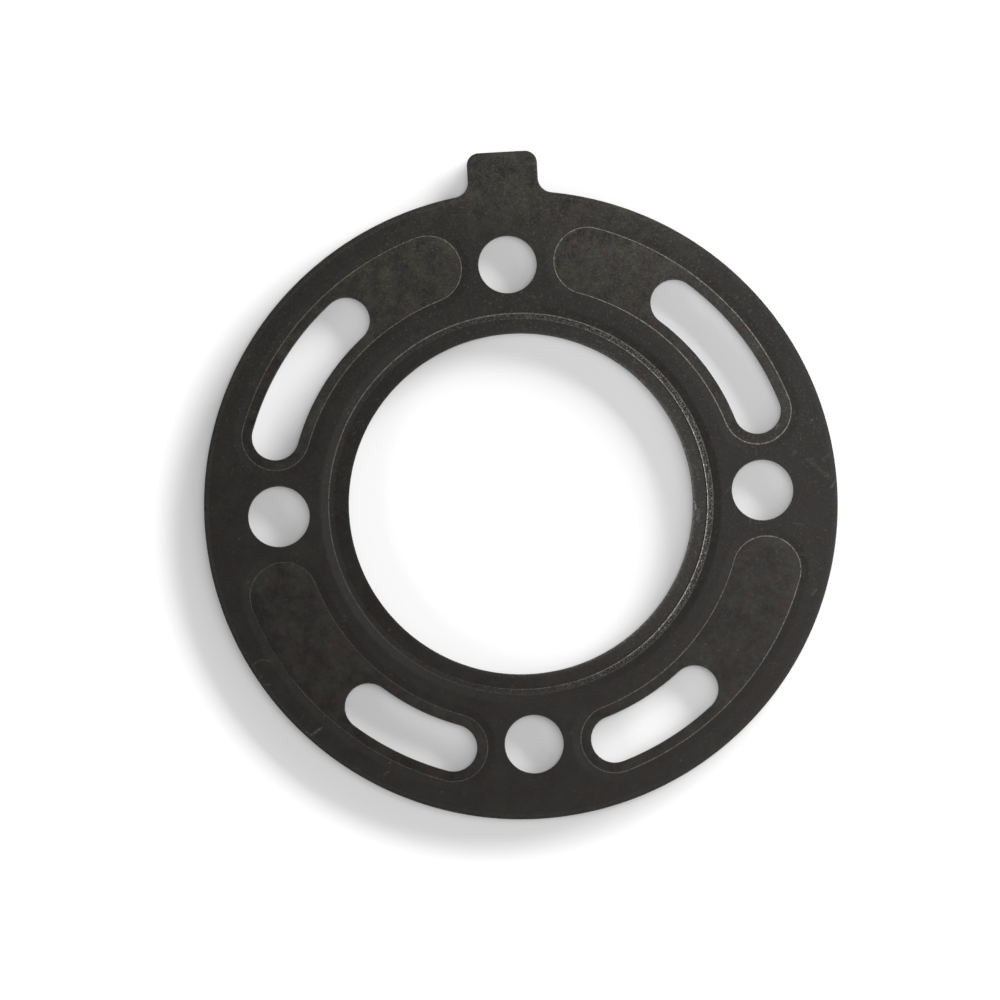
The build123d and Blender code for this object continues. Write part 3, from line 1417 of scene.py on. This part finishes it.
@dataclass(frozen=True)
class Studio:
    """A white floor, a pale surround, two softboxes and three low lamps for the floor alone."""

    floor_size: float = 6000.0
    floor_drop: float = 0.12
    floor_colour: Colour = (0.42, 0.42, 0.42, 1.0)
    floor_lift: float = 0.16
    shadow_reach: Pair = (47.5, 72.0)
    surround: float = 0.25
    lamps: tuple[Lamp, ...] = (
        Lamp("side_softbox", -22.0, 20.0, 400.0, (350.0, 150.0), 0.92),
        Lamp("high_softbox", 20.0, 55.0, 260.0, (260.0, 260.0), 0.42),
        Lamp("floor_light", 38.0, 4.5, 1500.0, (1200.0, 180.0), 340.0, True),
        Lamp("floor_fill", -50.0, 9.0, 1500.0, (900.0, 350.0), 10.0, True),
        Lamp("floor_back", 200.0, 5.0, 1500.0, (1200.0, 200.0), 80.0, True),
    )

    @staticmethod
    def seen(graph: Graph) -> Socket:
        """Tells the rays of the camera, and those that shiny and clear surfaces send on.

        Args:
            graph: The material's graph.

        Returns:
            1 for those rays, otherwise 0.
        """
        rays = graph.node("ShaderNodeLightPath").outputs
        shiny = graph.math("MAXIMUM", rays["Is Glossy Ray"], rays["Is Transmission Ray"])
        return graph.math("MAXIMUM", rays["Is Camera Ray"], shiny)

    def build_floor(self) -> bpy.types.Object:
        """Makes the floor: a square sheet that stays white and keeps the gasket's shadow.

        Near the gasket it is paper under the lamps, and it glows to white at the shadow's reach.

        Returns:
            The floor.
        """
        half, low = self.floor_size / 2 * MM, -self.floor_drop * MM
        corners = [(-half, -half, low), (half, -half, low), (half, half, low), (-half, half, low)]
        mesh = bpy.data.meshes.new("floor")
        mesh.from_pydata(corners, [], [(0, 1, 2, 3)])
        floor = bpy.data.objects.new("floor", mesh)
        bpy.context.scene.collection.objects.link(floor)
        material = bpy.data.materials.new("white_floor")
        material.use_nodes = True
        graph = Graph(material.node_tree)
        material.node_tree.nodes.remove(material.node_tree.nodes["Principled BSDF"])
        paper = graph.fed(graph.node("ShaderNodeBsdfDiffuse"), {"Color": self.floor_colour})
        place = graph.node("ShaderNodeTexCoord").outputs["Object"]
        away = graph.step(graph.length(place), *(reach * MM for reach in self.shadow_reach))
        lift = graph.line(away, 1.0 - self.floor_lift, self.floor_lift)
        strength = graph.times(self.seen(graph), lift)
        glow = graph.fed(graph.node("ShaderNodeEmission"), {"Strength": strength})
        both = graph.fed(graph.node("ShaderNodeAddShader"), {0: paper, 1: glow})
        graph.feed(material.node_tree.nodes["Material Output"].inputs["Surface"], both)
        mesh.materials.append(material)
        return floor

    def build_surround(self) -> None:
        """Makes the world: soft light from all round, white where it is seen."""
        world = bpy.data.worlds.new("surround")
        bpy.context.scene.world = world
        world.use_nodes = True
        graph = Graph(world.node_tree)
        sky = world.node_tree.nodes["Background"]
        camera = graph.node("ShaderNodeLightPath").outputs["Is Camera Ray"]
        strength = graph.line(camera, 1.0 - self.surround, self.surround)
        graph.fed(sky, {"Color": (1.0, 1.0, 1.0, 1.0), "Strength": strength})

    def build(self) -> None:
        """Makes the floor, the surround and the lamps."""
        floor_light = bpy.data.collections.new("floor_light")
        floor_light.objects.link(self.build_floor())
        self.build_surround()
        for lamp in self.lamps:
            lamp.build(floor_light)
        bpy.context.scene.view_settings.view_transform = "Standard"
        LOG.info("studio: floor, surround and %d lamps", len(self.lamps))


def main() -> None:
    """Loads the frame, then makes the camera, the studio and the gasket."""
    logging.basicConfig(level=logging.INFO, format="%(name)s: %(message)s")
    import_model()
    View().build()
    Studio().build()
    Gasket().build(CoatedSteel(), Effects.build())


if __name__ == "__main__":
    main()
